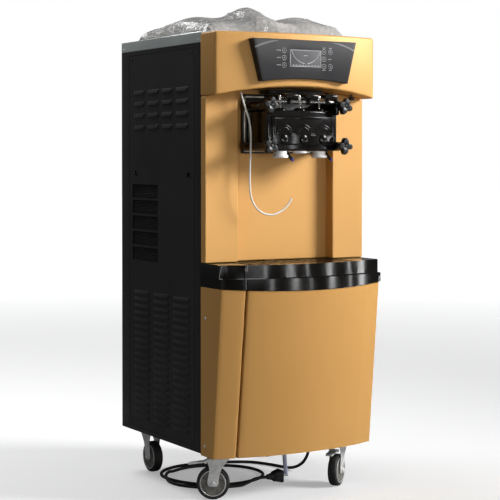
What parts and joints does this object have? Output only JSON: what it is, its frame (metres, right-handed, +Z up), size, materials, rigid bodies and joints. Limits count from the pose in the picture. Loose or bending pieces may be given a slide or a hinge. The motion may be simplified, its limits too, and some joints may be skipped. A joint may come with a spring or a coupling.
{
  "type": "ice cream maker",
  "caption": "Floor-standing soft serve ice cream maker on casters, with a bowed gold front, black side panels, three draw handles and a drip tray.",
  "frame": {"origin": "on the floor, under the middle of the cabinet's footprint", "axes": "+Z up, +X to the right of someone facing the machine, the front looks along -Y"},
  "size_m": [0.5664, 0.7095, 1.4318],
  "materials": {
    "gold_paint": "satin metallic gold powder coat",
    "black_paint": "satin black powder coat",
    "black_gloss_plastic": "glossy black moulding",
    "black_plastic": "matte black moulding",
    "display_glass": "grey display window",
    "stainless_steel": "brushed stainless steel",
    "chrome": "polished chrome",
    "zinc_plate": "bright zinc plate",
    "white_plastic": "food-grade white plastic",
    "rubber": "black rubber",
    "aluminium": "mill finish",
    "clear_film": "clear crumpled packing film",
    "clear_tube": "milky clear hose",
    "drain_hose": "pale blue-grey hose"
  },
  "bodies": {
    "cabinet": {"base_frame": "zinc_plate", "cabinet_frame": "zinc_plate", "left_side_panel": "black_paint", "right_side_panel": "black_paint", "rear_panel": "black_paint", "top_tray": "stainless_steel", "header_cowl": "gold_paint", "control_panel": "black_gloss_plastic", "display_window": "display_glass", "front_column": "gold_paint", "head_mount_plate": "black_gloss_plastic", "dispensing_head": "black_gloss_plastic", "handle_rod": "chrome", "nozzle_left": "white_plastic", "nozzle_right": "white_plastic", "nozzle_middle": "white_plastic", "switch_box": "black_plastic", "band_end_left": "black_gloss_plastic", "left_front_strip": "gold_paint", "hopper_left": "stainless_steel", "hopper_right": "stainless_steel", "freezing_cylinder_left": "stainless_steel", "freezing_cylinder_right": "stainless_steel", "gear_motor": "aluminium", "compressor": "black_paint", "condenser": "aluminium", "power_cord": "rubber", "power_plug": "rubber", "cord_gland": "rubber", "drip_tube": "clear_tube", "drain_stub": "drain_hose"},
    "star_knob_upper_left": {"star_knob_upper_left": "black_plastic"},
    "star_knob_upper_right": {"star_knob_upper_right": "black_plastic"},
    "star_knob_lower_left": {"star_knob_lower_left": "black_plastic"},
    "star_knob_lower_right": {"star_knob_lower_right": "black_plastic"},
    "draw_handle_left": {"draw_handle_left": "black_gloss_plastic"},
    "draw_valve_left": {"draw_valve_left": "white_plastic"},
    "draw_handle_middle": {"draw_handle_middle": "black_gloss_plastic"},
    "draw_valve_middle": {"draw_valve_middle": "white_plastic"},
    "draw_handle_right": {"draw_handle_right": "black_gloss_plastic"},
    "draw_valve_right": {"draw_valve_right": "white_plastic"},
    "drip_tray": {"drip_tray": "black_gloss_plastic"},
    "drip_grille": {"drip_grille": "black_gloss_plastic"},
    "front_door": {"front_door": "gold_paint"},
    "caster_fork_front_left": {"caster_fork_front_left": "zinc_plate"},
    "caster_wheel_front_left": {"caster_wheel_front_left": "rubber"},
    "brake_pedal_front_left": {"brake_pedal_front_left": "zinc_plate"},
    "caster_fork_front_right": {"caster_fork_front_right": "zinc_plate"},
    "caster_wheel_front_right": {"caster_wheel_front_right": "rubber"},
    "brake_pedal_front_right": {"brake_pedal_front_right": "zinc_plate"},
    "caster_fork_rear_left": {"caster_fork_rear_left": "zinc_plate"},
    "caster_wheel_rear_left": {"caster_wheel_rear_left": "rubber"},
    "caster_fork_rear_right": {"caster_fork_rear_right": "zinc_plate"},
    "caster_wheel_rear_right": {"caster_wheel_rear_right": "rubber"},
    "film_cover": {"film_cover": "clear_film"},
    "hopper_lid_left": {"hopper_lid_left": "black_plastic"},
    "hopper_lid_right": {"hopper_lid_right": "black_plastic"},
    "beater_left": {"beater_left": "white_plastic"},
    "beater_right": {"beater_right": "white_plastic"},
    "condenser_fan": {"condenser_fan": "black_plastic"}
  },
  "joints": [
    {"name": "star_knob_upper_left_turn", "type": "hinge", "parent": "cabinet", "child": "star_knob_upper_left", "pos_m": [-0.125, -0.312, 1.13], "axis": [0, 1, 0], "continuous": true},
    {"name": "star_knob_upper_right_turn", "type": "hinge", "parent": "cabinet", "child": "star_knob_upper_right", "pos_m": [0.125, -0.312, 1.13], "axis": [0, 1, 0], "continuous": true},
    {"name": "star_knob_lower_left_turn", "type": "hinge", "parent": "cabinet", "child": "star_knob_lower_left", "pos_m": [-0.125, -0.312, 1.015], "axis": [0, 1, 0], "continuous": true},
    {"name": "star_knob_lower_right_turn", "type": "hinge", "parent": "cabinet", "child": "star_knob_lower_right", "pos_m": [0.125, -0.312, 1.015], "axis": [0, 1, 0], "continuous": true},
    {"name": "draw_handle_left_pull", "type": "hinge", "parent": "cabinet", "child": "draw_handle_left", "pos_m": [-0.066, -0.284, 1.142], "axis": [1, 0, 0], "range_deg": [0, 45]},
    {"name": "draw_valve_left_lift", "type": "slide", "parent": "cabinet", "child": "draw_valve_left", "axis": [0, 0, 1], "range_m": [0, 0.0145]},
    {"name": "draw_handle_middle_pull", "type": "hinge", "parent": "cabinet", "child": "draw_handle_middle", "pos_m": [0, -0.284, 1.142], "axis": [1, 0, 0], "range_deg": [0, 45]},
    {"name": "draw_valve_middle_lift", "type": "slide", "parent": "cabinet", "child": "draw_valve_middle", "axis": [0, 0, 1], "range_m": [0, 0.0145]},
    {"name": "draw_handle_right_pull", "type": "hinge", "parent": "cabinet", "child": "draw_handle_right", "pos_m": [0.066, -0.284, 1.142], "axis": [1, 0, 0], "range_deg": [0, 45]},
    {"name": "draw_valve_right_lift", "type": "slide", "parent": "cabinet", "child": "draw_valve_right", "axis": [0, 0, 1], "range_m": [0, 0.0145]},
    {"name": "drip_tray_slide", "type": "slide", "parent": "cabinet", "child": "drip_tray", "axis": [0, -1, 0], "range_m": [0, 0.2]},
    {"name": "drip_grille_lift", "type": "slide", "parent": "drip_tray", "child": "drip_grille", "axis": [0, 0, 1], "range_m": [0, 0.06]},
    {"name": "front_door_hinge", "type": "hinge", "parent": "cabinet", "child": "front_door", "pos_m": [0.262, -0.178, 0.37], "axis": [0, 0, 1], "range_deg": [0, 105]},
    {"name": "caster_swivel_front_left", "type": "hinge", "parent": "cabinet", "child": "caster_fork_front_left", "pos_m": [-0.202, -0.169, 0.12], "axis": [0, 0, 1], "continuous": true},
    {"name": "caster_roll_front_left", "type": "hinge", "parent": "caster_fork_front_left", "child": "caster_wheel_front_left", "pos_m": [-0.22405, -0.15522, 0.0475], "axis": [-0.5299, -0.848, 0], "continuous": true},
    {"name": "brake_press_front_left", "type": "hinge", "parent": "caster_fork_front_left", "child": "brake_pedal_front_left", "pos_m": [-0.24186, -0.14409, 0.1085], "axis": [-0.5299, -0.848, 0], "range_deg": [0, 12]},
    {"name": "caster_swivel_front_right", "type": "hinge", "parent": "cabinet", "child": "caster_fork_front_right", "pos_m": [0.202, -0.169, 0.12], "axis": [0, 0, 1], "continuous": true},
    {"name": "caster_roll_front_right", "type": "hinge", "parent": "caster_fork_front_right", "child": "caster_wheel_front_right", "pos_m": [0.18151, -0.18501, 0.0475], "axis": [0.6157, -0.788, 0], "continuous": true},
    {"name": "brake_press_front_right", "type": "hinge", "parent": "caster_fork_front_right", "child": "brake_pedal_front_right", "pos_m": [0.16496, -0.19794, 0.1085], "axis": [0.6157, -0.788, 0], "range_deg": [0, 12]},
    {"name": "caster_swivel_rear_left", "type": "hinge", "parent": "cabinet", "child": "caster_fork_rear_left", "pos_m": [-0.202, 0.3, 0.12], "axis": [0, 0, 1], "continuous": true},
    {"name": "caster_roll_rear_left", "type": "hinge", "parent": "caster_fork_rear_left", "child": "caster_wheel_rear_left", "pos_m": [-0.202, 0.274, 0.0475], "axis": [1, 0, 0], "continuous": true},
    {"name": "caster_swivel_rear_right", "type": "hinge", "parent": "cabinet", "child": "caster_fork_rear_right", "pos_m": [0.202, 0.3, 0.12], "axis": [0, 0, 1], "continuous": true},
    {"name": "caster_roll_rear_right", "type": "hinge", "parent": "caster_fork_rear_right", "child": "caster_wheel_rear_right", "pos_m": [0.22761, 0.29549, 0.0475], "axis": [0.1736, 0.9848, 0], "continuous": true},
    {"name": "film_cover_lift", "type": "slide", "parent": "cabinet", "child": "film_cover", "axis": [0, 0, 1], "range_m": [0, 0.2]},
    {"name": "hopper_lid_left_lift", "type": "slide", "parent": "cabinet", "child": "hopper_lid_left", "axis": [0, 0, 1], "range_m": [0, 0.12]},
    {"name": "hopper_lid_right_lift", "type": "slide", "parent": "cabinet", "child": "hopper_lid_right", "axis": [0, 0, 1], "range_m": [0, 0.12]},
    {"name": "beater_left_spin", "type": "hinge", "parent": "cabinet", "child": "beater_left", "pos_m": [-0.066, -0.02, 1.06], "axis": [0, 1, 0], "continuous": true},
    {"name": "beater_right_spin", "type": "hinge", "parent": "cabinet", "child": "beater_right", "pos_m": [0.066, -0.02, 1.06], "axis": [0, 1, 0], "continuous": true},
    {"name": "condenser_fan_spin", "type": "hinge", "parent": "cabinet", "child": "condenser_fan", "pos_m": [-0.15, 0.09, 0.375], "axis": [1, 0, 0], "continuous": true}
  ],
  "couplings": [
    {"joint": "draw_valve_left_lift", "follows": "draw_handle_left_pull", "m_per_rad": 0.018},
    {"joint": "draw_valve_middle_lift", "follows": "draw_handle_middle_pull", "m_per_rad": 0.018},
    {"joint": "draw_valve_right_lift", "follows": "draw_handle_right_pull", "m_per_rad": 0.018},
    {"joint": "hopper_lid_left_lift", "follows": "film_cover_lift", "ratio": 0.6},
    {"joint": "hopper_lid_right_lift", "follows": "film_cover_lift", "ratio": 0.6},
    {"joint": "beater_right_spin", "follows": "beater_left_spin", "ratio": 1}
  ]
}
